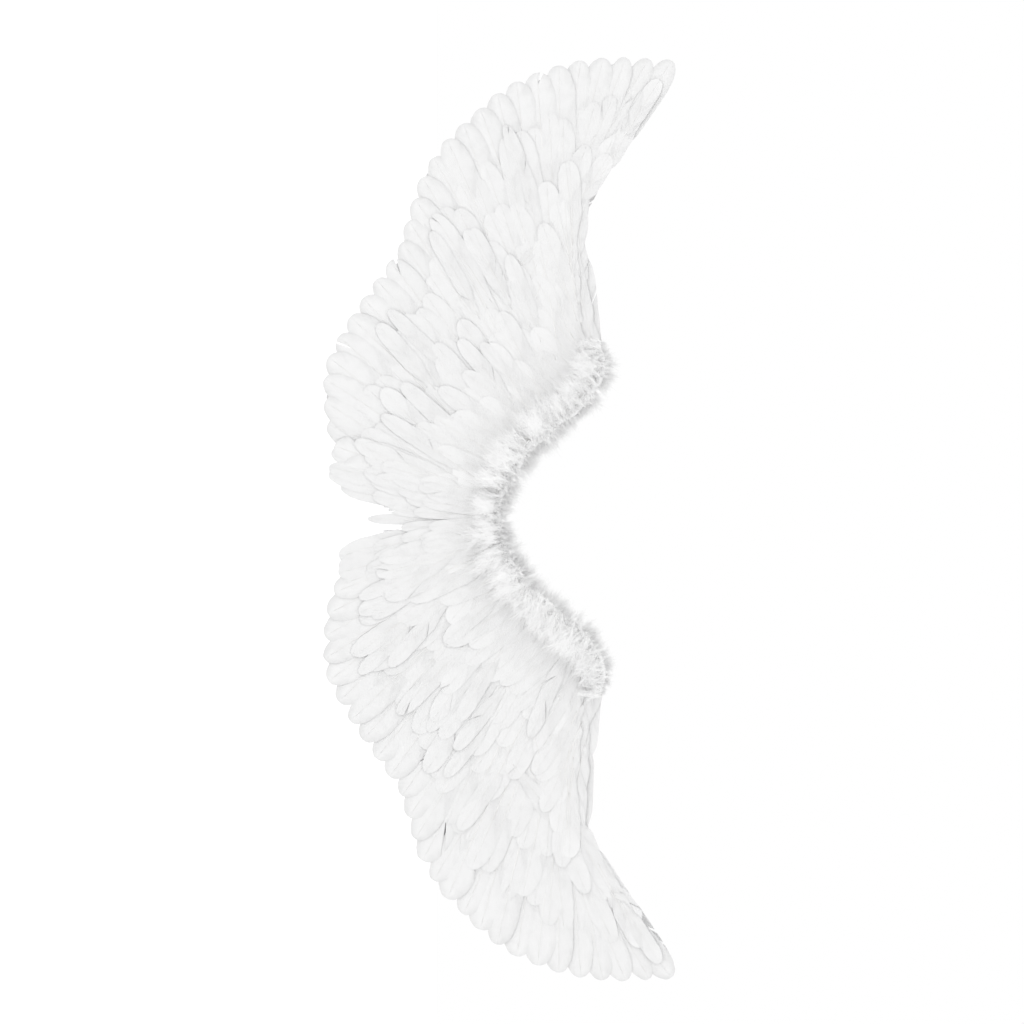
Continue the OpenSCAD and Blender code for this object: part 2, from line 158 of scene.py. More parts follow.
class Nodes:
    """A material with short calls for its nodes."""

    def __init__(self, name, rough, sheen=0.0):
        self.material = bpy.data.materials.new(name)
        self.material.use_nodes = True
        self.tree = self.material.node_tree
        self.shader = self.tree.nodes["Principled BSDF"]
        self.set(self.shader, Roughness=rough, Sheen_Weight=sheen)

    def set(self, node, **values):
        for name, value in values.items():
            node.inputs[name.replace("_", " ")].default_value = value

    def node(self, kind, **settings):
        made = self.tree.nodes.new("ShaderNode" + kind)
        for name, value in settings.items():
            setattr(made, name, value)
        return made

    def join(self, source, target):
        self.tree.links.new(source, target)

    def attribute(self, name):
        return self.node("Attribute", attribute_name=name).outputs["Fac"]

    def maths(self, operation, a, b=0.0, clamped=False):
        made = self.node("Math", operation=operation, use_clamp=clamped)
        for socket, value in zip(made.inputs, (a, b)):
            if isinstance(value, (int, float)):
                socket.default_value = value
            else:
                self.join(value, socket)
        return made.outputs[0]

    def noise(self, scale, detail=3.0, stretch=(1, 1, 1)):
        where = self.node("TexCoord").outputs["Object"]
        mapping = self.node("Mapping")
        mapping.inputs["Scale"].default_value = stretch
        self.join(where, mapping.inputs["Vector"])
        made = self.node("TexNoise")
        self.set(made, Scale=scale, Detail=detail)
        self.join(mapping.outputs[0], made.inputs["Vector"])
        return made.outputs["Fac"]

    def ramp(self, source, stops):
        made = self.node("ValToRGB")
        elements = made.color_ramp.elements
        while len(elements) < len(stops):
            elements.new(0.5)
        for element, (place, colour) in zip(elements, stops):
            element.position = place
            element.color = (*colour, 1)
        self.join(source, made.inputs["Fac"])
        return made.outputs["Color"]

    def colour(self, source):
        self.join(source, self.shader.inputs["Base Color"])

    def bump(self, source, distance, strength=1.0):
        made = self.node("Bump")
        self.set(made, Strength=strength, Distance=distance)
        self.join(source, made.inputs["Height"])
        self.join(made.outputs[0], self.shader.inputs["Normal"])


def grey(v, warm=0.0):
    """A grey, or a slightly yellow one: warm is how far blue lies below red."""
    return (v, v - 0.4 * warm, v - warm)


def feather_material():
    """White vanes: fine barb lines, with each feather a little different, and painted shade that greys the
    tips where they lie in a single layer.
    """
    m = Nodes("feather_white", 0.55, 0.2)
    barbs = m.maths("SINE", m.maths("MULTIPLY", m.attribute("barb"), 2 * math.pi))
    patches = m.noise(90, 4)
    light = m.maths("ADD", m.maths("MULTIPLY", m.attribute("tone"), 0.6), m.maths("MULTIPLY", patches, 0.4))
    light = m.maths("ADD", light, m.maths("MULTIPLY", barbs, 0.035), True)
    m.colour(m.ramp(light, [(0.0, grey(0.7)), (0.5, grey(0.88)), (1.0, grey(0.93))]))
    m.bump(m.maths("ADD", barbs, m.maths("MULTIPLY", patches, 2.0)), 0.00012, 0.6)
    return m.material


def down_material():
    """Marabou down: painted shade makes the thin outer barbs grey, white where it is thick, and a faint
    painted glow in the lighter parts stands in for light coming through it.
    """
    m = Nodes("down_white", 0.8, 0.3)
    light = m.maths("ADD", m.maths("MULTIPLY", m.attribute("tone"), 0.8),
                    m.maths("MULTIPLY", m.noise(260, 3), 0.2), True)
    m.colour(m.ramp(light, [(0.0, grey(0.56)), (0.35, grey(0.83)), (0.65, grey(0.92)), (1.0, grey(0.94))]))
    # Painted glow: the lighter down gives off a faint light, in place of light coming through it.
    painted_glow = m.ramp(light, [(0.3, grey(0.05)), (0.75, grey(1.0))])
    m.join(painted_glow, m.shader.inputs["Emission Color"])
    m.set(m.shader, Emission_Strength=0.06)
    return m.material


def felt_material():
    """Needled felt: matted fibres with a fine nap."""
    m = Nodes("felt_white", 0.95, 0.35)
    fibres = m.noise(700, 8, (1, 1, 2.2))
    m.colour(m.ramp(fibres, [(0.3, grey(0.78, 0.01)), (0.6, grey(0.88, 0.01)), (0.8, grey(0.93))]))
    m.bump(m.maths("ADD", fibres, m.noise(2400, 3)), 0.0004, 0.7)
    return m.material


def cloth_material(name, pitch, light, warm=0.0):
    """A plain weave: threads along X and Z, in the object's own frame."""
    m = Nodes(name, 0.88, 0.2)
    parts = m.node("SeparateXYZ")
    m.join(m.node("TexCoord").outputs["Object"], parts.inputs[0])
    waves = [m.maths("SINE", m.maths("MULTIPLY", parts.outputs[axis], 2 * math.pi / pitch)) for axis in "XZ"]
    weave = m.maths("MULTIPLY", *waves)
    mixed = m.maths("ADD", m.maths("MULTIPLY", weave, 0.2), m.noise(180, 5), True)
    m.colour(m.ramp(mixed, [(0.2, grey(light - 0.1, warm)), (0.7, grey(light, warm))]))
    m.bump(weave, 0.4 * pitch, 0.5)
    return m.material


def elastic_material():
    """Woven elastic: ribs along the strap and a fine weft across it, from the strap's own attributes."""
    m = Nodes("elastic_white", 0.75, 0.25)
    ribs = m.maths("SINE", m.maths("MULTIPLY", m.attribute("rib"), 2 * math.pi))
    weft = m.maths("SINE", m.maths("MULTIPLY", m.attribute("weft"), 2 * math.pi))
    mixed = m.maths("ADD", m.maths("MULTIPLY", ribs, 0.25), m.maths("MULTIPLY", weft, 0.12))
    mixed = m.maths("ADD", mixed, m.noise(300, 3), True)
    m.colour(m.ramp(mixed, [(0.2, grey(0.74)), (0.75, grey(0.92))]))
    m.bump(m.maths("ADD", m.maths("MULTIPLY", weft, 0.4), ribs), 0.0004, 0.7)
    return m.material


def steel_material():
    """Drawn steel wire and turned rivets, with uneven polish."""
    m = Nodes("drawn_steel", 0.35)
    m.set(m.shader, Metallic=1.0)
    streaks = m.noise(220, 4)
    m.colour(m.ramp(streaks, [(0.3, grey(0.52)), (0.7, grey(0.72))]))
    rough = m.node("MapRange")
    m.set(rough, To_Min=0.25, To_Max=0.5)
    m.join(streaks, rough.inputs["Value"])
    m.join(rough.outputs[0], m.shader.inputs["Roughness"])
    return m.material


def plain_material(name, rough, patches, dark, light, sheen=0.0, grain=None):
    """Soft patches between two colours, with a fine grain if one is given.
    patches is the noise's scale and detail, and grain is a noise with its depth and strength."""
    m = Nodes(name, rough, sheen)
    m.colour(m.ramp(m.noise(*patches), [(0.3, dark), (0.7, light)]))
    if grain:
        m.bump(m.noise(*grain[:2]), *grain[2:])
    return m.material


FEATHER = feather_material()
QUILL = plain_material("quill", 0.35, (60, 3), grey(0.84, 0.02), grey(0.93, 0.01),
                       grain=(900, 2, 0.00005, 0.4))
DOWN = down_material()
FELT = felt_material()
BACKING = cloth_material("backing_cloth", 1.1 * MM, 0.92)
BINDING = cloth_material("binding_tape", 0.8 * MM, 0.88)
TAPE = cloth_material("gummed_tape", 1.4 * MM, 0.9, 0.03)
ELASTIC = elastic_material()
THREAD = plain_material("thread_white", 0.6, (1500, 2), grey(0.8, 0.01), grey(0.93), sheen=0.2)
STEEL = steel_material()
MOULDED = (1400, 4, 0.00012, 0.5)
SPINE = plain_material("spine_plastic", 0.42, (40, 2), grey(0.87), grey(0.9), grain=MOULDED)
CAP = plain_material("cap_plastic", 0.42, (40, 2), grey(0.81), grey(0.84), grain=MOULDED)
BOARD = plain_material("stiff_sheet", 0.8, (300, 6), grey(0.84, 0.03), grey(0.92, 0.02),
                       grain=(1000, 4, 0.0002, 0.4))


def dress(node, material):
    """Gives a CAD node its material."""
    obj = frame["nodes"][node]
    obj.data.materials.clear()
    obj.data.materials.append(material)


# ---- The wing's own curves, in mm as in part.scad, for the +X wing ----

WING_REACH, WING_HEIGHT = 504, 400
INNER_X, LEAD_ROOT_Z = 20, 53
TRIM_D = 14
COVER_WIDTH = 34
ROW_STEP = 54

# Leading edge: share of the reach, share of the height above the edge's root
LEAD = [(0, 0), (0.07, 0.045), (0.135, 0.103), (0.185, 0.185), (0.23, 0.245), (0.275, 0.28), (0.32, 0.285),
        (0.355, 0.265), (0.4, 0.25), (0.445, 0.245), (0.545, 0.23), (0.615, 0.225), (0.68, 0.245),
        (0.75, 0.3), (0.82, 0.355), (0.885, 0.41), (0.95, 0.47)]
# Feather tips from the middle to the wing's tip: share of the reach, share of the height, heading
TIPS = [(0.03, -0.395, 5), (0.095, -0.43, 15), (0.165, -0.46, 24), (0.24, -0.47, 31), (0.31, -0.465, 37),
        (0.38, -0.425, 43), (0.445, -0.375, 48), (0.515, -0.315, 52), (0.58, -0.26, 55), (0.66, -0.23, 58),
        (0.735, -0.2, 61), (0.805, -0.145, 65), (0.865, -0.07, 70), (0.925, 0.015, 77), (0.965, 0.115, 86),
        (0.99, 0.225, 97), (0.997, 0.335, 111), (0.99, 0.475, 126)]


def spline(nodes, t):
    """A smooth curve through the nodes, at t from 0 to the last index."""
    last = len(nodes) - 1
    k = int(clamp(math.floor(t), 0, last - 1))
    f = t - k
    p = [nodes[int(clamp(k + j, 0, last))] for j in (-1, 0, 1, 2)]
    return [(2 * b + (c - a) * f + (2 * a - 5 * b + 4 * c - d) * f * f + (3 * b - a - 3 * c + d) * f ** 3) / 2
            for a, b, c, d in zip(*p)]


def wing_point(x_share, z_share):
    return Vector((INNER_X + x_share * (WING_REACH - INNER_X), 0, LEAD_ROOT_Z + z_share * WING_HEIGHT))


def way(heading):
    """The direction that lies heading degrees outwards from straight down."""
    return Vector((math.sin(math.radians(heading)), 0, -math.cos(math.radians(heading))))


def lead_at(t):
    """The point of the leading edge at t."""
    return wing_point(*spline(LEAD, t))


def lead_inset(t, inset):
    """The point that lies inset from the leading edge at t."""
    low, high = max(t - 0.05, 0), min(t + 0.05, len(LEAD) - 1)
    d = (lead_at(high) - lead_at(low)).normalized()
    return lead_at(t) + inset * Vector((d.z, 0, -d.x))


def tip_at(t, inset):
    """The place of a feather's tip at t, inset from the wing's outer edge."""
    x, z, heading = spline(TIPS, t)
    return wing_point(x, z) - inset * way(heading)


def heading_at(t):
    return spline(TIPS, t)[2]


LEAD_XZ = np.array([(p.x, p.z) for p in map(lead_at, np.linspace(0, len(LEAD) - 1, 120))])
ROOM_FIRST, ROOM_STEP = 60, 4  # shortest feather that is tried, and the step
ROOM_AT_HINGE = 4  # how far outside the inner edge a root stays


def room_at(t, below=13.5):
    """How far a feather can run back from its tip and stay this far below the leading edge."""
    tip, ahead = tip_at(t, 0), way(heading_at(t))
    fits = [s for s in range(ROOM_FIRST, WING_HEIGHT, ROOM_STEP)
            if (tip - s * ahead).x > INNER_X + ROOM_AT_HINGE
            and (tip - s * ahead).z < np.interp((tip - s * ahead).x, LEAD_XZ[:, 0], LEAD_XZ[:, 1]) - below]
    return max(fits) if fits else 0


CURVE_STEPS = 90


def along(curve, pitch, first, final):
    """Parameters of the curve that lie about pitch apart along it."""
    ts = [lerp(first, final, k / CURVE_STEPS) for k in range(CURVE_STEPS + 1)]
    points = [curve(t) for t in ts]
    sums = np.concatenate(([0], np.cumsum([(b - a).length for a, b in zip(points, points[1:])])))
    count = int(sums[-1] // pitch) + 1
    return [float(np.interp(sums[-1] * k / (count - 1), sums, ts)) for k in range(count)]


# ---- One feather ----

BARB_LINES = 44  # lines of points down each vane
BARB_STEPS = 5  # points along each line
VANE_START = 0.1  # where the vane begins, as a share of the length
TIP_START = 0.76  # where the tip begins to round off
BARB_PITCH = 0.9 * MM
SIDE_SHARE = 0.7  # how much of the outline is side, before the tip
ROOT_WIDTH = 0.46  # width of the vane at its start, as a share of the full width
WIDENING = 2.2  # how soon the vane reaches its full width
TIP_BLUNTNESS = 0.85  # below 1, the tip is rounder than an ellipse
BARB_ANGLES = (46, 22)  # between barb and shaft at the vane's start and at its tip, in degrees
LOCK_LENGTHS = (0.05, 0.2)  # range of a lock's length, as a share of the outline
LOCK_LEAST = 0.04  # a shorter last lock joins the one before it
LOCK_GAPS = (0.004, 0.013)  # range of an open cut's half width
CAMBER = 0.03  # how far the vane's edge drops, as a share of half the width
BOW = 0.035  # most sideways curve of a shaft, as a share of the length
SHAFT_RINGS = 9
SHAFT_SIDES = 4
SHAFT_REACH = 0.94  # where the shaft ends
SHAFT_THICKNESS = (0.024, 0.006)  # at the root and at the end, as a share of the feather's width


def vane_edge(q, length, half):
    """A point on the vane's outline: distance from the root, and from the shaft. q runs from 0 to 1."""
    if q < SIDE_SHARE:
        share = q / SIDE_SHARE
        s = lerp(VANE_START, TIP_START, share)
        return s * length, half * (ROOT_WIDTH + (1 - ROOT_WIDTH) * smooth(share * WIDENING))
    turn = (q - SIDE_SHARE) / (1 - SIDE_SHARE) * math.pi / 2
    across = half * max(0.0, math.cos(turn)) ** TIP_BLUNTNESS
    return (TIP_START + (1 - TIP_START) * math.sin(turn)) * length, across


def vane_base(q, length, half):
    """The point on the shaft where that outline point's barb begins."""
    s, v = vane_edge(q, length, half)
    angle = math.radians(lerp(*BARB_ANGLES, q))
    return max(0.02 * length, min(s - v / math.tan(angle), lerp(0.9, 0.965, q) * length))


def vane_locks(rng, ragged):
    """Cuts one vane into locks of barbs that cling together, with how far each cut opens."""
    cuts = [0.0]
    while cuts[-1] < 1.0:
        cuts.append(min(1.0, cuts[-1] + rng.uniform(*LOCK_LENGTHS)))
    if cuts[-1] - cuts[-2] < LOCK_LEAST:
        cuts.pop(-2)
    opens = [0.0]
    for _ in cuts[1:-1]:
        wide = rng.random() < ragged
        opens.append(rng.uniform(*LOCK_GAPS) if wide else 0.0)
    opens.append(0.0)
    return list(zip(cuts, cuts[1:], opens, opens[1:]))


class Feathers:
    """A group of feathers while it is being laid, with its own order of random draws."""

    def __init__(self, seed):
        self.rng = random.Random(seed)
        self.vanes, self.shafts = Soup("barb", "tone"), Soup()


def feather(group, root, tip, width, out, rise, roll=0.0, curl=0.0, ragged=0.12, tone=0.6, bare_tip=0.0):
    """Adds one feather: two barbed vanes cut into locks, and a tapering shaft.
    rise is its height along out at the root and at the tip. roll lifts one side, in radians. ragged is the
    share of cuts that stand open, and the last argument is how much greyer the end is painted, as shade where
    the tip lies in a single layer."""
    rng = group.rng
    reach = tip - root
    length = reach.length
    ahead = reach / length
    side = out.cross(ahead)
    half = width / 2
    bow = rng.uniform(-BOW, BOW) * length

    def place(s, v, lift=0.0):
        share = s / length
        height = lerp(rise[0], rise[1], share) + curl * share ** 3
        height += v * math.sin(roll) - CAMBER * v * v / half + lift
        sway = bow * (share * share - share)
        return root + ahead * s + side * (v * math.cos(roll) + sway) + out * height

    for hand in (-1, 1):
        lean = rng.uniform(0.85, 1.0)
        for start, end, open_a, open_b in vane_locks(rng, ragged):
            count = max(2, round((end - start) * BARB_LINES) + 1)
            lift = rng.uniform(-0.1, 0.12) * MM
            short = rng.uniform(0.97, 1.0)
            points, barb, tones = [], [], []
            for k in range(count):
                f = k / (count - 1)
                q = lerp(start, end, f)
                pull = open_a * (1 - f) * 2 if f < 0.5 else -open_b * (2 * f - 1)
                s0 = vane_base(q, length, half)
                s1, v1 = vane_edge(clamp(q + pull), length, half)
                rounding = short * (1 - 0.02 * (2 * f - 1) ** 2)
                for step in range(BARB_STEPS):
                    t = step / (BARB_STEPS - 1)
                    far = t * rounding
                    bend = 0.1 * half * math.sin(math.pi * t) * (1 - q)
                    points.append(place(lerp(s0, s1, far) - bend, hand * lean * v1 * far, lift * t * t))
                    barb.append(q * length / BARB_PITCH)
                    # Painted shade: the outer part of the vane turns greyer towards a tip that lies in a
                    # single layer.
                    tones.append(clamp(tone - bare_tip * smooth((s1 * t / length - 0.55) / 0.4)
                                       - 0.1 * (1 - t)))
            group.vanes.add(points, grid_faces(count, BARB_STEPS), barb=barb, tone=tones)

    points = []
    for r in range(SHAFT_RINGS):
        share = r / (SHAFT_RINGS - 1) * SHAFT_REACH
        thick = lerp(*SHAFT_THICKNESS, share) * width
        for k in range(SHAFT_SIDES):
            turn = math.pi / 4 + k * math.pi / 2
            lift = thick * (0.35 + 0.6 * math.sin(turn))
            points.append(place(share * length, thick * math.cos(turn), lift))
    group.shafts.add(points, bar_faces(SHAFT_RINGS, SHAFT_SIDES))


def feather_pieces(group, name, body, *replaced):
    """Makes the two pieces of a group of feathers."""
    made = []
    for label, soup, material in (("vanes", group.vanes, FEATHER), ("shafts", group.shafts, QUILL)):
        made.append(soup.piece(f"{name}_{label}", material))
        put(made[-1], "feather", body, *replaced)
    return made


# ---- Rows of feathers, in mm ----

PLANE = Vector((0, AXIS_Y, 0))
SHINGLE = math.radians(1.8)  # how far a feather rolls, so that one edge lies over the next
LEVELS, LEVEL = 3, 0.24  # neighbours lie on levels in turn, this far apart
TIP_FIRST, TIP_NARROW = 14.0, 0.82  # where feathers turn narrow towards the wing's tip, and how much
TIP_SLIP = 12  # how far covers slip out of line
SHORTEST = 36
PAD_HALF_WIDTH, PAD_FOOT = 46, -42


def lay(side, group, tip, heading, length, width, rise, out=DISPLAY, **looks):
    """Lays one feather on a wing by its tip, in mm and degrees for the +X wing, with a little disorder."""
    sign, rng = SIDES[side], group.rng
    heading += rng.gauss(0, 1.7)
    length *= rng.uniform(0.97, 1.05)
    lift = rng.uniform(-0.2, 0.25)
    root = tip - length * way(heading - rng.gauss(0, 0.8))
    flip = Vector((sign * MM, MM, MM))
    outward = 1 if out is DISPLAY else -1
    feather(group, root * flip + PLANE, tip * flip + PLANE, width * rng.uniform(0.95, 1.1) * MM, out,
            ((rise[0] + 0.3 * lift) * MM, (rise[1] + lift) * MM),
            roll=outward * sign * SHINGLE * rng.uniform(0.5, 1.5), curl=rng.uniform(-1.0, -0.2) * MM,
            tone=rng.uniform(0.54, 0.66), **looks)


def clear_of_pad(tip, heading, length, width):
    """On the wearer's side, no feather lies over the pad."""
    spots = [tip - share / 10 * length * way(heading) for share in range(11)]
    return min(max(p.x - PAD_HALF_WIDTH, PAD_FOOT - p.z) for p in spots) > width / 2 + 2


def row_pieces(group, side, name):
    """The pieces of a row that is also a CAD node."""
    node = f"{side}_{name}_feathers"
    feather_pieces(group, node, f"{side}_wing", node)


def tip_row(side, name, inset, length, width, pitch, rise, seed, out=DISPLAY, **looks):
    """A row of feathers with their tips along the wing's edge, or inset from it."""
    group = Feathers(seed)
    for number, t in enumerate(along(lambda t: tip_at(t, inset), pitch, 0, len(TIPS) - 1)):
        tip, heading = tip_at(t, inset), heading_at(t)
        long = min(length, room_at(t) - inset)
        beside = tip.x - 0.3 * long * math.sin(math.radians(heading)) - INNER_X
        wide = min(width, 2 * beside) * lerp(1, TIP_NARROW, smooth((t - TIP_FIRST) / 2))
        if long < SHORTEST or out is WEARER and not clear_of_pad(tip, heading, long, wide):
            continue
        slip = group.rng.uniform(-TIP_SLIP, TIP_SLIP) if inset else 0
        level = number % LEVELS * LEVEL
        lay(side, group, tip + slip * way(heading), heading, long, wide, (rise[0] + level, rise[1] + level),
            out, **looks)
    row_pieces(group, side, name)


def root_row(side, seed):
    """The shortest covers, rooted along the trim and the leading edge."""
    group = Feathers(seed)
    length, width, pitch = 92, 23, 11

    def root_line(t):
        return lead_inset(t, TRIM_D / 2 + 0.4 + float(np.interp(t, [3.5, 5.5, 8], [0, 11, 4])))

    for t in along(root_line, pitch, 0.7, 10.4):
        root = root_line(t)
        heading = 10 + 54 * root.x / (0.4 * WING_REACH)
        long = length * group.rng.uniform(0.72, 1.2)
        lay(side, group, root + long * way(heading), heading, long, width, (5.8, 6.2), ragged=0.04)
    row_pieces(group, side, "fifth_row")


# Feathers along the leading edge on the wearer's side: place on the edge and heading
LEAD_FEATHERS = [(10.1, 84), (12.2, 95), (13.6, 112), (14.8, 122), (15.7, 124)]


def lead_feathers(side, seed):
    """A few feathers along the leading edge on the wearer's side."""
    group = Feathers(seed)
    for t, heading in LEAD_FEATHERS:
        lay(side, group, lead_inset(t, 16), heading, 105, COVER_WIDTH - 9, (5.2, 6.2), WEARER)
    row_pieces(group, side, "lead_edge")


# Long feathers beyond the leading edge, under the others: place of the tip, heading and length
LONG_LEAD = {
    "left": [(288, 145, 86, 130), (222, 152, 82, 80)],
    "right": [(338, 145, 91, 118), (262, 148, 86, 110)],
}
LEAD_PITCH, LEAD_INSET = 15, 6
LEAD_SPAN = (5.6, 13.9)  # from the trim's end to the wing's tip


def lead_covers(side, seed):
    """Narrow covers laid along the leading edge on the display side."""
    group = Feathers(seed)
    rng = group.rng
    for number, t in enumerate(along(lambda t: lead_inset(t, LEAD_INSET), LEAD_PITCH, *LEAD_SPAN)):
        run = lead_inset(t + 1.2, LEAD_INSET) - lead_inset(t, LEAD_INSET)
        heading = math.degrees(math.atan2(run.x, -run.z)) - rng.uniform(-3, 6)
        length = rng.uniform(60, 80)
        level = 4.6 + number % LEVELS * LEVEL
        lay(side, group, lead_inset(t, rng.uniform(2, 8)) + length * way(heading), heading, length,
            rng.uniform(19, 25), (level, level + 0.3), ragged=0.05)
    for x, z, heading, length in LONG_LEAD[side]:
        lay(side, group, Vector((x, 0, z)), heading, length, 25, (2.9, 3.3), ragged=0.06)
    feather_pieces(group, f"{side}_lead_covers", f"{side}_wing")


# Rows on each side of the wing, outermost first: name, inset of the tips from the wing's edge, length, width,
# pitch, heights of root and tip over the axes, share of open cuts, how much greyer the tips are painted, as
# shade where they lie in a single layer
DISPLAY_ROWS = [
    ("flight", 0, 135, 38, 24, (2.6, 2.9), 0.045, 0.5),
    ("second_row", ROW_STEP, 130, 31, 17, (3.4, 3.8), 0.02, 0.15),
    ("third_row", 2 * ROW_STEP, 128, 29, 16, (4.2, 4.6), 0.02, 0.0),
    ("fourth_row", 3 * ROW_STEP, 118, 27, 15, (5.0, 5.4), 0.02, 0.0),
]
WEARER_ROWS = [
    ("back_flight", 14, 123, COVER_WIDTH, 26, (4.6, 4.9), 0.1, 0.2),
    ("back_middle", ROW_STEP + 22, 116, 32, 24, (5.2, 5.6), 0.05, 0.0),
    ("back_upper", 2 * ROW_STEP + 34, 106, 31, 23, (5.8, 6.3), 0.05, 0.0),
]


def tip_rows(side, rows, out, seed):
    """All rows of one side of the wing, each with its own seed."""
    for number, (name, inset, length, width, pitch, rise, ragged, bare_tip) in enumerate(rows):
        tip_row(side, name, inset, length, width, pitch, rise, seed + number, out, ragged=ragged,
                bare_tip=bare_tip)


for number, side in enumerate(SIDES):
    seed = 100 * number
    tip_rows(side, DISPLAY_ROWS, DISPLAY, seed)
    root_row(side, seed + 4)
    tip_rows(side, WEARER_ROWS, WEARER, seed + 20)
    lead_feathers(side, seed + 23)
    lead_covers(side, seed + 24)


# ---- Feathers over the hinge gap, in the middle, and ruffled ones ----

def free_feather(group, x, z, heading, length, width, rise, **looks):
    """One feather by its root, in mm, with its heading in degrees from straight down."""
    root = Vector((x * MM, 0, z * MM)) + PLANE
    tip = root + way(heading) * length * MM
    feather(group, root, tip, width * MM, DISPLAY, (rise[0] * MM, rise[1] * MM), **looks)


RUFFLED = 30


def ruffled_feathers(side, seed):
    """Covers between the rows, a little loose and out of line, most of them in the inner wing."""
    group = Feathers(seed)
    rng = group.rng
    for _ in range(RUFFLED):
        t = 0.8 * (len(TIPS) - 1) * rng.random() ** 1.6
        room = room_at(t)
        length = rng.uniform(85, 120)
        inset = rng.uniform(30, max(31, room - length))
        if inset > room - length:
            continue
        height = 3.9 + 0.014 * inset + rng.uniform(0, 0.8)
        lay(side, group, tip_at(t, inset), heading_at(t) + rng.gauss(0, 4), length, rng.uniform(17, 25),
            (height - 0.3, height + 0.3), ragged=0.05)
    feather_pieces(group, f"{side}_ruffled_feathers", f"{side}_wing")


# Rows over each hinge gap: height of the roots, heading, length, width and height in front of the axes
HINGE_ROWS = [(22, 16, 146, 27, 2.8), (34, 14, 124, 22, 3.7), (46, 12, 102, 19, 4.6), (55, 10, 84, 17, 5.4)]
HINGE_PLACES = (8, 14, 20, 26)  # of the roots, outwards from the middle


def hinge_feathers(side, seed):
    """Inner feathers that cross from the harness to the wing, on neither body."""
    sign, group = SIDES[side], Feathers(seed)
    rng = group.rng
    for foot, heading, length, width, height in HINGE_ROWS:
        for number, out in enumerate(HINGE_PLACES):
            z = foot - 0.25 * (out - HINGE_PLACES[0]) + rng.uniform(-3, 3)
            turn = heading * (0.55 + out / 40) + rng.gauss(0, 1.2)
            level = height + number % LEVELS * LEVEL
            free_feather(group, sign * out, z, sign * turn, length * rng.uniform(0.93, 1.06),
                         width * rng.uniform(0.85, 1.1), (level, level + 0.4), roll=-sign * 0.02,
                         curl=-0.5 * MM, ragged=0.06, tone=rng.uniform(0.54, 0.66))
    for obj in feather_pieces(group, f"{side}_hinge_feathers", None):
        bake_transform(obj)


# Over the spine plate: place, height of the root, heading, length and heights
CENTRE_FEATHERS = [
    (0, 38, 0, 126, (3.0, 3.4)),
    (-3, 38, -4, 104, (3.5, 3.9)),
    (3, 40, 4, 92, (4.0, 4.4)),
    (-3, 46, -3, 84, (4.6, 5.0)),
    (3.5, 52, 4, 74, (5.2, 5.6)),
]
CENTRE_WIDTH = 14.5


def centre_feathers(seed):
    """The narrow feathers over the spine plate."""
    group = Feathers(seed)
    for x, z, heading, length, rise in CENTRE_FEATHERS:
        free_feather(group, x, z, heading, length, CENTRE_WIDTH, rise, ragged=0.1, tone=0.62)
    feather_pieces(group, "centre_feathers", "harness", "centre_feathers")


for number, side in enumerate(SIDES):
    ruffled_feathers(side, 300 + number)
    hinge_feathers(side, 320 + number)
centre_feathers(340)


# ---- Marabou trim ----

def trim_line(node, steps):
    """The middle line of a trim node, as points at even steps of distance from the middle."""
    points = np.array([tuple(v.co) for v in frame["nodes"][node].data.vertices])
    out = np.abs(points[:, 0])
    marks = np.linspace(out.min(), out.max(), steps)
    half = 0.75 * (marks[1] - marks[0])
    line = []
    for mark in marks:
        near = points[np.abs(out - clamp(mark, marks[0] + half, marks[-1] - half)) < half]
        middle = (near.max(0) + near.min(0)) / 2
        line.append(Vector((math.copysign(mark, points[:, 0].mean()), middle[1], middle[2])))
    return line


BARB_POINTS = 5
BARBS_PER_TUFT = 24
WANDER = 0.1  # how much a barb of down turns at each point


def ribbon(soup, start, heading, length, wide, tone, rng):
    """One barb of down: a thin tapering ribbon that wanders a little."""
    points, tones = [], []
    place, ahead = start.copy(), heading.normalized()
    facing = Vector((rng.gauss(0, 0.5), -1, rng.gauss(0, 0.5)))
    for k in range(BARB_POINTS):
        share = k / (BARB_POINTS - 1)
        side = ahead.cross(facing)
        side = side.normalized() if side.length > 0.05 else Vector((1, 0, 0))
        half = side * wide * (1 - 0.8 * share) / 2
        points += [place - half, place + half]
        tones += [clamp(tone + 0.2 * share)] * 2
        ahead = (ahead + Vector([rng.gauss(0, WANDER) for _ in range(3)])).normalized()
        place = place + ahead * length / (BARB_POINTS - 1)
    soup.add(points, [(2 * k, 2 * k + 1, 2 * k + 3, 2 * k + 2) for k in range(BARB_POINTS - 1)], tone=tones)


def tuft(soup, root, heading, length, light, rng):
    """One marabou plume: barbs fanned along a short soft shaft, kept inside the trim's room."""
    first = len(soup.points)
    for _ in range(BARBS_PER_TUFT):
        share = rng.random() ** 0.8
        start = root + heading * length * 0.5 * share
        fan = Vector([rng.gauss(0, 0.24) for _ in range(3)])
        tone = clamp(light + 0.15 * share + rng.uniform(-0.1, 0.1))
        ribbon(soup, start, heading + fan, length * rng.uniform(0.4, 0.62), rng.uniform(0.25, 0.5) * MM,
               tone, rng)
    soup.points[first:] = [trim_room(p) for p in soup.points[first:]]


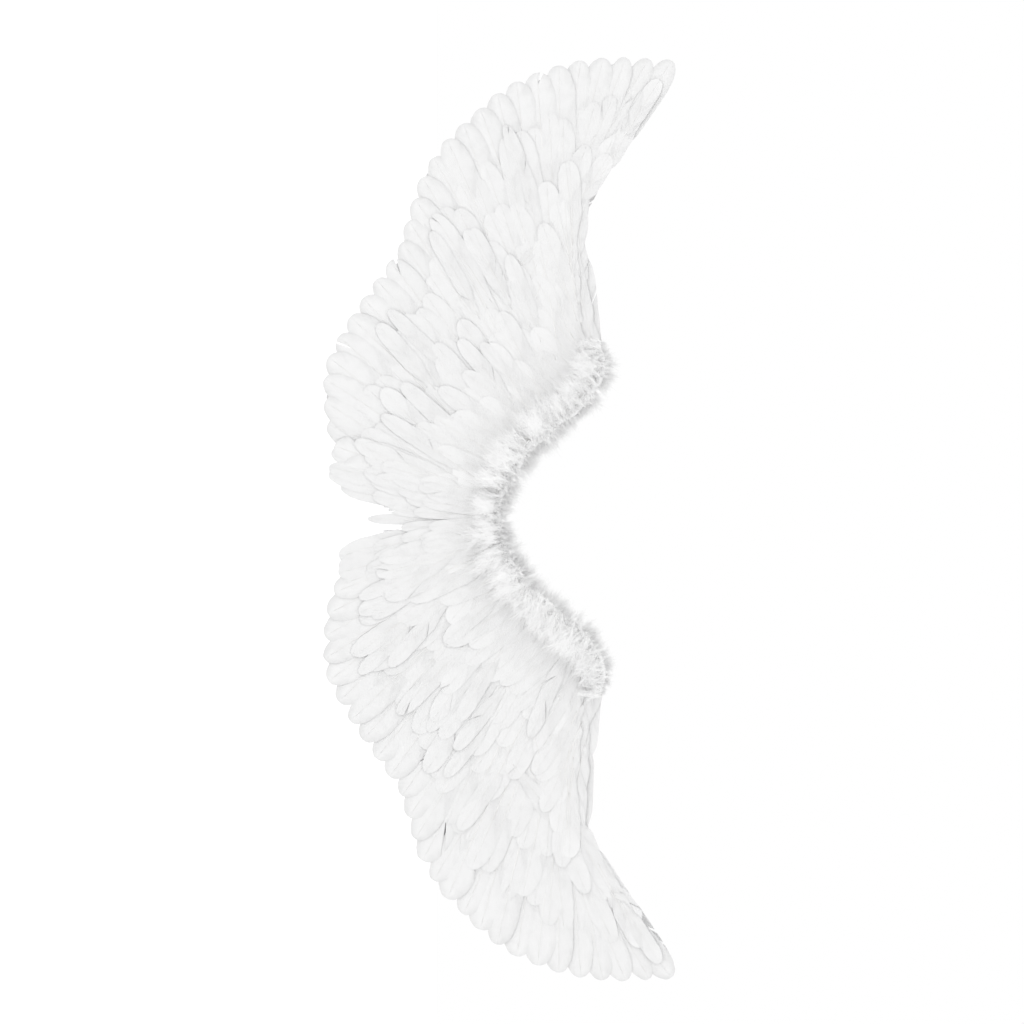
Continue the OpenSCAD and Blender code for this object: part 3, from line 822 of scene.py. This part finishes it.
# Fans of tufts: lowest and highest heading in degrees from the outer side (0) over the display side (90)
# to the feathers (180), length, share of the tufts, how light they are, with painted shade making the outer
# fans grey, and how far in front they start
TUFT_FANS = [
    (-12, 18, 23, 0.25, 0.26, -1.0),
    (20, 60, 13, 0.08, 0.5, 1.0),
    (60, 120, 11, 0.08, 0.8, 3.5),
    (132, 165, 34, 0.38, 0.84, 5.0),
    (-70, -15, 11, 0.10, 0.6, -4.0),
    (200, 250, 12, 0.11, 0.7, -4.0),
]
TUFTS_PER_METRE = 4200
CLUMP = 7 * MM  # down is fuller and thinner in turn over about this length
CORE = 4 * MM  # radius of the cord inside the down
TRIM_FRONT = 20.5 * MM  # most depth in front of the axes, away from the hinges
TRIM_FRONT_MIDDLE = 13.5 * MM  # and at the hinges, where folded wings need the room
TRIM_BACK = -9 * MM
SOFT_STOP = 3 * MM  # the depth over which barbs flatten against that limit
TRIM_TAPER = 40 * MM
MIDDLE_SHADE, MIDDLE_END, MIDDLE_FADE = 0.5, 58 * MM, 30 * MM  # painted shade: the lighter down is darkened near the middle, where its flat front faces the light
SWEPT = math.radians(125)  # tufts beyond this are combed over the trim to the feathers


def trim_room(point):
    """Keeps down out of the way of the folding wings and inside the depth that it has."""
    front = min(TRIM_FRONT, TRIM_FRONT_MIDDLE + 0.1 * max(0, abs(point.x) - HINGE_X))
    depth = max(AXIS_Y - point.y, TRIM_BACK)
    over = depth - front + SOFT_STOP
    if over > 0:
        depth = front - SOFT_STOP + SOFT_STOP * math.tanh(over / SOFT_STOP)
    return Vector((point.x, AXIS_Y - depth, point.z))


def marabou(name, line, seed, body, *replaced):
    """Down all round a trim line, in clumps."""
    rng = random.Random(seed)
    soup = Soup("tone")
    steps = [(b - a).length for a, b in zip(line, line[1:])]
    total = sum(steps)
    clumps = [rng.uniform(0.7, 1.25) for _ in range(int(total / CLUMP) + 2)]
    for _ in range(round(total * TUFTS_PER_METRE)):
        place, k = rng.random() * total, 0
        clump = place / CLUMP
        full = lerp(clumps[int(clump)], clumps[int(clump) + 1], clump % 1)
        full *= lerp(0.45, 1.0, smooth((total - place) / TRIM_TAPER)) if total > 2 * TRIM_TAPER else 1.0
        while k < len(steps) - 1 and place > steps[k]:
            place -= steps[k]
            k += 1
        ahead = (line[k + 1] - line[k]).normalized()
        pick, fan = rng.random(), 0
        while pick > TUFT_FANS[fan][3] and fan < len(TUFT_FANS) - 1:
            pick -= TUFT_FANS[fan][3]
            fan += 1
        # A fan's lightness is painted shade: the fans that turn outwards are greyer.
        low, high, length, _, light, forward = TUFT_FANS[fan]
        # Painted shade: lighter down near the middle is darkened, where its flat front faces the light.
        middle = smooth((MIDDLE_END - abs(line[k].x)) / MIDDLE_FADE)
        light -= MIDDLE_SHADE * middle * smooth((light - 0.4) / 0.3)
        turn = math.radians(rng.uniform(low, high))
        away = away_from_feathers(ahead)
        heading = away * math.cos(turn) + DISPLAY * math.sin(turn) + ahead * rng.gauss(0, 0.22)
        shift = rng.uniform(-4, 0) if turn < SWEPT else rng.uniform(-9, 7)
        root = line[k] + ahead * place + DISPLAY * forward * MM + away * shift * MM
        tuft(soup, root, heading.normalized(), length * full * rng.uniform(0.85, 1.15) * MM, light, rng)
    soup.add(*tube(line, CORE, 10), tone=0.55)
    obj = soup.piece(name, DOWN)
    put(obj, "down", body, *replaced)
    return obj


def tube(line, radius, sides):
    """Points and faces of a round bar along a line, closed at both ends."""
    points = []
    for k, middle in enumerate(line):
        ahead = (line[min(k + 1, len(line) - 1)] - line[max(k - 1, 0)]).normalized()
        up = ahead.cross(DISPLAY).normalized()
        for s in range(sides):
            turn = 2 * math.pi * s / sides
            points.append(middle + (up * math.cos(turn) + DISPLAY * math.sin(turn)) * radius)
    return points, bar_faces(len(line), sides)


def away_from_feathers(ahead):
    """At right angles to the trim, on the side where the neck is."""
    away = Vector((-ahead.z, 0, ahead.x))
    return away if away.z > 0 else -away


def all_marabou():
    """Down on each wing, a short length on the harness, and a length at each hinge on neither body."""
    low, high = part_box("centre_trim")
    y, z = (low[1] + high[1]) / 2, (low[2] + high[2]) / 2
    for number, (side, sign) in enumerate(SIDES.items()):
        marabou(f"{side}_down", trim_line(f"{side}_trim", 26), 400 + number, f"{side}_wing", f"{side}_trim")
        bend = marabou(f"{side}_hinge_down", [Vector((sign * x * MM, y, z)) for x in (5, 9, 13, 17, 21)],
                       420 + number, None)
        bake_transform(bend)
    marabou("centre_down", [Vector((x * MM, y, z)) for x in (-5, 0, 5)], 430, "harness", "centre_trim")


all_marabou()


# ---- Pad, binding and stitches ----

PAD_LOW, PAD_HIGH = (Vector(c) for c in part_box("pad_cover"))
PAD_MIDDLE = (PAD_LOW + PAD_HIGH) / 2
PAD_HALF = Vector(((PAD_HIGH.x - PAD_LOW.x) / 2, 0, (PAD_HIGH.z - PAD_LOW.z) / 2))
PAD_CORNER = 16 * MM
PAD_BACK = PAD_LOW.y
PAD_CROWN = 2.6 * MM  # how far the face drops from the middle to the edge
PAD_PINCH = 1.2 * MM  # how far the sides pull in between the corners
PAD_RINGS, PAD_AROUND = 44, 168
SIDE_STEPS = 6
BORDER = 0.84  # place of the sewn border, as a share of the way to the edge
BORDER_DEPTH, BORDER_WIDTH = 1.8 * MM, 0.035
CHANNELS = (-15.5 * MM, 15.5 * MM)
CHANNEL_DEPTH, CROSS_DEPTH, CHANNEL_WIDTH = 1.9 * MM, 1.7 * MM, 1.8 * MM
RIPPLE, RIPPLE_PITCH, RIPPLE_REACH = 0.12 * MM, 2.1 * MM, 4 * MM  # small puckers beside the channels


def bell(distance, width):
    """A rounded peak of 1 that fades over about this width."""
    return math.exp(-(distance / width) ** 2)


def pad_edge(turn):
    """The point on the pad's outline, from its middle, in the direction turn. It is found by halving."""
    ray = Vector((math.cos(turn), 0, math.sin(turn)))
    low, high = 0.0, PAD_HALF.x + PAD_HALF.z
    for _ in range(30):
        mid = (low + high) / 2
        x = abs(ray.x) * mid - (PAD_HALF.x - PAD_CORNER)
        z = abs(ray.z) * mid - (PAD_HALF.z - PAD_CORNER)
        beyond = math.hypot(max(x, 0), max(z, 0)) + min(max(x, z), 0) - PAD_CORNER
        low, high = (mid, high) if beyond < 0 else (low, mid)
    return ray * (low - PAD_PINCH * abs(math.cos(2 * turn)) ** 1.5)


def pad_face(x, z, share):
    """The height of the pad's face: crown, sewn border, channels and small ripples beside them."""
    crown = PAD_CROWN * share ** 3.2
    border = BORDER_DEPTH * bell(share - BORDER, BORDER_WIDTH)
    channels = CHANNEL_DEPTH * sum(bell(x - c, CHANNEL_WIDTH) for c in CHANNELS)
    across = CROSS_DEPTH * bell(z, CHANNEL_WIDTH)
    ripple = RIPPLE * math.sin(z / RIPPLE_PITCH) * bell(min(abs(x - c) for c in CHANNELS), RIPPLE_REACH)
    sewn = (channels + across) * (1 - smooth((share - 0.78) / 0.06))
    return PAD_HIGH.y - (crown + border + sewn + ripple)


def pad_spot(x, y, z):
    """A point at this x and z from the pad's middle, and at this y."""
    return Vector((PAD_MIDDLE.x + x, y, PAD_MIDDLE.z + z))


def pad_ring(share, height):
    """Points round the pad at a share of the way to its edge. height(x, z) is their y."""
    edges = [pad_edge(2 * math.pi * a / PAD_AROUND) * share for a in range(PAD_AROUND)]
    return [pad_spot(e.x, height(e.x, e.z), e.z) for e in edges]


def pad():
    """The felt back pad: crowned on the wearer's side, flat on the plate."""
    points = []
    for r in range(1, PAD_RINGS):
        share = r / (PAD_RINGS - 1)
        points += pad_ring(share, lambda x, z: pad_face(x, z, share))
    for k in range(1, SIDE_STEPS):
        height = lerp(PAD_HIGH.y - PAD_CROWN, PAD_BACK, k / SIDE_STEPS)
        points += pad_ring(1 + 0.004 * math.sin(math.pi * k / SIDE_STEPS), lambda x, z: height)
    for share in (0.97, 0.6, 0.2):
        points += pad_ring(share, lambda x, z: PAD_BACK)
    rows = len(points) // PAD_AROUND
    faces = grid_faces(rows, PAD_AROUND, True)
    front, last = len(points), (rows - 1) * PAD_AROUND
    points += [pad_spot(0, pad_face(0, 0, 0), 0), pad_spot(0, PAD_BACK, 0)]
    faces += [(front, (a + 1) % PAD_AROUND, a) for a in range(PAD_AROUND)]
    faces += [(front + 1, last + a, last + (a + 1) % PAD_AROUND) for a in range(PAD_AROUND)]
    soup = Soup()
    soup.add(points, faces)
    obj = soup.piece("back_pad", FELT)
    put(obj, "felt", "harness", "pad_cover", "pad_foam", "pad_back")


STITCH_SHARE = 0.72  # how much of the pitch is thread
STITCH_POINTS = 5


def stitch_run(soup, line, pitch=3.4 * MM, thick=0.35 * MM):
    """Thread stitches along a line of (point, out) pairs: short rounded bars with gaps between."""
    distance = [0.0]
    for (a, _), (b, _) in zip(line, line[1:]):
        distance.append(distance[-1] + (b - a).length)

    def at(d):
        k = 0
        while k < len(line) - 2 and distance[k + 1] < d:
            k += 1
        f = clamp((d - distance[k]) / max(distance[k + 1] - distance[k], 1e-9))
        return line[k][0].lerp(line[k + 1][0], f), line[k][1].lerp(line[k + 1][1], f).normalized()

    for n in range(int(distance[-1] / pitch)):
        spots = []
        for k in range(STITCH_POINTS):
            share = k / (STITCH_POINTS - 1)
            point, out = at((n + STITCH_SHARE * share) * pitch)
            spots.append(point + out * thick * (1.1 * math.sin(math.pi * share) - 0.45))
        soup.add(*tube(spots, thick, 6))


def pad_stitches():
    """The border stitch and the sewn channels of the pad."""
    soup = Soup()
    high, wide = 0.8 * (PAD_HALF.z - MM), 0.8 * PAD_HALF.x
    ends = [(Vector((c, 0, -high)), Vector((c, 0, high))) for c in CHANNELS]
    ends.append((Vector((-wide, 0, 0)), Vector((wide, 0, 0))))
    runs = [[pad_edge(2 * math.pi * a / 240) * BORDER for a in range(241)]]
    runs += [[a.lerp(b, k / 60) for k in range(61)] for a, b in ends]
    for run in runs:
        line = []
        for p in run:
            share = p.length / pad_edge(math.atan2(p.z, p.x)).length
            line.append((pad_spot(p.x, pad_face(p.x, p.z, share), p.z), WEARER))
        stitch_run(soup, line)
    put(soup.piece("pad_stitches", THREAD), "felt", "harness")


def pad_binding():
    """The folded tape round the pad's side, slightly puckered, with its own row of stitches."""
    low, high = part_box("pad_binding")
    around, profile = 320, 12
    thick, pucker_depth = 0.75 * MM, 0.1 * MM
    rng = random.Random(500)
    phases = [rng.uniform(0, 2 * math.pi) for _ in range(3)]
    soup, stitches = Soup(), Soup()
    points, seam = [], []
    for a in range(around):
        turn = 2 * math.pi * a / around
        edge = pad_edge(turn)
        out = Vector((edge.x, 0, edge.z)).normalized()
        pucker = sum(math.sin(turn * n + ph) for n, ph in zip((37, 61, 89), phases)) * pucker_depth
        for k in range(profile):
            spin = 2 * math.pi * k / profile
            beyond = 0.5 * MM + thick * math.cos(spin) + pucker * (1 + math.cos(spin)) / 2
            height = lerp(low[1], high[1], 0.5 + 0.5 * math.sin(spin))
            points.append(pad_spot(edge.x, height, edge.z) + out * beyond)
        seam.append((pad_spot(edge.x, lerp(low[1], high[1], 0.72), edge.z) + out * (1.3 * MM + pucker), out))
    faces = grid_faces(around, profile, True)
    last = (around - 1) * profile
    faces += [(last + k, last + (k + 1) % profile, (k + 1) % profile, k) for k in range(profile)]
    soup.add(points, faces)
    put(soup.piece("pad_binding_tape", BINDING), "binding_tape", "harness", "pad_binding")
    stitch_run(stitches, seam + seam[:1], 2.8 * MM, 0.3 * MM)
    put(stitches.piece("binding_stitches", THREAD), "binding_tape", "harness")


pad()
pad_stitches()
pad_binding()


# ---- Elastic straps ----

STRAP_THICK = 1.5 * MM
STRAP_BEND = 8 * MM  # how sharply the strap turns at the pad's edge
STRAP_STEPS = 220
ACROSS, RIBS = 45, 9  # points across each face, and ribs along the strap
RIB_DEPTH = 0.1 * MM
WEFT_PITCH = 1.2 * MM
EDGE_WAVE, WAVE_PITCH = 0.35 * MM, 9 * MM


def strap(side):
    """A loop of ribbed elastic from the top of the pad round to its foot."""
    node = f"{side}_strap"
    low, high = (Vector(c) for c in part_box(node))
    thick, bend = STRAP_THICK, STRAP_BEND
    mid, top, foot = low.y + thick / 2, PAD_HIGH.z, PAD_LOW.z
    reach = high.y - thick / 2
    rivet_low, rivet_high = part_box("strap_rivets")
    ends = (rivet_high[2] - 11 * MM, rivet_low[2] + 11 * MM)
    nodes = [(mid, ends[0]), (mid, top - 3 * MM), (mid + 0.1 * bend, top + 0.3 * bend),
             (mid + 0.6 * bend, top + 0.95 * bend), (mid + 2 * bend, top + 1.15 * bend),
             (0.5 * reach, 0.95 * top), (0.85 * reach, 0.3 * top), (reach, 0.6 * foot),
             (0.85 * reach, 1.5 * foot), (0.5 * reach, 1.75 * foot), (mid + 2.4 * bend, 1.55 * foot),
             (mid + 0.6 * bend, foot - 0.95 * bend), (mid + 0.1 * bend, foot - 0.3 * bend),
             (mid, foot + 3 * MM), (mid, ends[1])]
    line = [spline(nodes, (len(nodes) - 1) * k / (STRAP_STEPS - 1)) for k in range(STRAP_STEPS)]
    centre_x, width = (low.x + high.x) / 2, high.x - low.x
    points, rib, weft = [], [], []
    run = 0.0
    for k, (y, z) in enumerate(line):
        before, after = line[max(k - 1, 0)], line[min(k + 1, STRAP_STEPS - 1)]
        ahead = Vector((0, after[0] - before[0], after[1] - before[1])).normalized()
        out = Vector((0, -ahead.z, ahead.y))
        if k:
            run += math.hypot(y - line[k - 1][0], z - line[k - 1][1])
        free = smooth((abs(y - mid) - 2 * MM) / (12 * MM))
        wave = EDGE_WAVE * math.sin(run / WAVE_PITCH) * free
        for face in (1, -1):
            for c in range(ACROSS):
                share = c / (ACROSS - 1) * 2 - 1
                rise = 0.5 * thick * (1 - abs(share) ** 14 * 0.5)
                rise -= RIB_DEPTH * (0.5 - 0.5 * math.cos(math.pi * RIBS * (share + 1)))
                edge_lift = wave * max(0.0, abs(share) - 0.6) / 0.4
                x = centre_x + face * share * width / 2
                points.append(Vector((x, y, z)) + out * (face * rise + edge_lift))
                rib.append(RIBS * (share + 1) / 2)
                weft.append(run / WEFT_PITCH)
    soup = Soup("rib", "weft")
    soup.add(points, bar_faces(STRAP_STEPS, 2 * ACROSS), rib=rib, weft=weft)
    put(soup.piece(f"{side}_elastic_strap", ELASTIC), "elastic", "harness", node)


for side in SIDES:
    strap(side)


# ---- Backing cloth ----

CLOTH_GRID = 5 * MM
CLOTH_THICK = 0.6 * MM
HEM, HEM_RISE = 8 * MM, 0.25 * MM  # width of the turned hem, and how far it stands up
PUCKER = 0.12 * MM
DRAPE = 0.22 * MM


def backing_cloth(side, seed):
    """The cloth glued over the panel's wearer side: a turned hem, faint puckers and wrinkles."""
    node = f"{side}_backing_cloth"
    low, high = (Vector(c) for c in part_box(node))
    mesh = bmesh.new()
    mesh.from_mesh(frame["nodes"][node].data)
    bmesh.ops.remove_doubles(mesh, verts=mesh.verts, dist=0.01 * MM)
    mesh.normal_update()
    bmesh.ops.delete(mesh, geom=[f for f in mesh.faces if f.normal.y < 0.9], context="FACES")
    bmesh.ops.dissolve_limit(mesh, angle_limit=math.radians(1), verts=mesh.verts, edges=mesh.edges)
    for axis, start, end in ((0, low.x, high.x), (2, low.z, high.z)):
        for k in range(1, int((end - start) / CLOTH_GRID)):
            across = Vector([float(a == axis) for a in range(3)])
            bmesh.ops.bisect_plane(mesh, geom=mesh.verts[:] + mesh.edges[:] + mesh.faces[:],
                                   plane_co=(start + k * CLOTH_GRID) * across, plane_no=across)
    edges = [e.verts for e in mesh.edges if e.is_boundary]
    border = np.array([((a.co.x + b.co.x) / 2, (a.co.z + b.co.z) / 2) for a, b in edges])
    rng = random.Random(seed)
    waves = [(rng.uniform(60, 160), rng.uniform(0, math.pi), rng.uniform(0, 6)) for _ in range(5)]
    area = sum(f.calc_area() for f in mesh.faces)
    for v in mesh.verts:
        near = float(np.sqrt(((border - (v.co.x, v.co.z)) ** 2).sum(1).min()))
        drape = sum(math.sin(rate * (v.co.x * math.cos(turn) + v.co.z * math.sin(turn)) + start)
                    for rate, turn, start in waves) / len(waves)
        hem = HEM_RISE * smooth((HEM - near) / (1.5 * MM))
        pucker = PUCKER * math.sin((v.co.x + v.co.z) / (1.9 * MM)) * bell(near - HEM, 4 * MM)
        v.co.y = high.y + DRAPE * drape * smooth(near / (15 * MM)) + hem + pucker
    data = bpy.data.meshes.new(f"{side}_cloth")
    mesh.to_mesh(data)
    mesh.free()
    data.polygons.foreach_set("use_smooth", [True] * len(data.polygons))
    data.materials.append(BACKING)
    obj = add_object(f"{side}_cloth", data)
    thick = obj.modifiers.new("thickness", "SOLIDIFY")
    thick.thickness = CLOTH_THICK
    thick.offset = -1
    put(obj, "backing", f"{side}_wing", node)


for number, side in enumerate(SIDES):
    backing_cloth(side, 600 + number)


# ---- Rigid CAD parts keep their shape and get their materials ----

dress("spine_plate", SPINE)
dress("rod_caps", CAP)
dress("strap_rivets", STEEL)
for side in SIDES:
    for part, material in (("hinge_rod", STEEL), ("hinge_barrels", CAP), ("frame_wire", STEEL),
                           ("stay_wires", STEEL), ("wire_tapes", TAPE), ("base_panel", BOARD)):
        dress(f"{side}_{part}", material)


# ---- Floor, lights and camera ----

FLOOR_HALF, FLOOR_DROP = 12.0, 0.2  # half of the floor's side, and how far below the wings it lies


def stage_floor():
    """A plain white floor below the wings."""
    size, height = FLOOR_HALF, CAD_BOX[0][2] - FLOOR_DROP
    mesh = bpy.data.meshes.new("floor")
    mesh.from_pydata([(x * size, y * size, height) for x, y in ((-1, -1), (1, -1), (1, 1), (-1, 1))], [],
                     [(0, 1, 2, 3)])
    obj = add_object("floor", mesh)
    m = Nodes("floor_white", 0.9)
    m.set(m.shader, Base_Color=(0.95, 0.95, 0.95, 1), Emission_Color=(1, 1, 1, 1), Emission_Strength=0.2)
    mesh.materials.append(m.material)


LIT = (0, 0, 0.05)  # where the lights aim


def area_light(name, place, size, watts):
    """A square soft light aimed at the wings."""
    data = bpy.data.lights.new(name, "AREA")
    data.size, data.energy = size, watts
    obj = add_object(name, data)
    obj.location = place
    obj.rotation_euler = (Vector(LIT) - Vector(place)).to_track_quat("-Z", "Y").to_euler()


def lights():
    """Even white light from all round, with two weak soft lights."""
    world = bpy.data.worlds.new("studio")
    bpy.context.scene.world = world
    world.use_nodes = True
    sky = world.node_tree.nodes["Background"]
    sky.inputs["Color"].default_value = (1, 1, 1, 1)
    sky.inputs["Strength"].default_value = 1.0
    area_light("key", (-2.2, -2.4, 1.2), size=1.2, watts=5)
    area_light("back", (1.8, 2.6, 1.6), size=1.6, watts=5)


FRAME_ACROSS = 1.116  # how much the picture spans at the wings
AIM = Vector((-7.6 * MM, AXIS_Y, 69.1 * MM))


def camera():
    """Square on to the display side, with the picture turned so that up in it is towards -X."""
    data = bpy.data.cameras.new("camera")
    data.lens, data.sensor_width = 100.0, 36.0
    distance = FRAME_ACROSS * data.lens / data.sensor_width
    obj = add_object("camera", data)
    axes = Matrix(((0, -1, 0), (0, 0, -1), (1, 0, 0))).to_4x4()
    obj.matrix_world = Matrix.Translation(AIM + DISPLAY * distance) @ axes
    bpy.context.scene.camera = obj


stage_floor()
lights()
camera()
bpy.context.scene.view_settings.view_transform = "Standard"
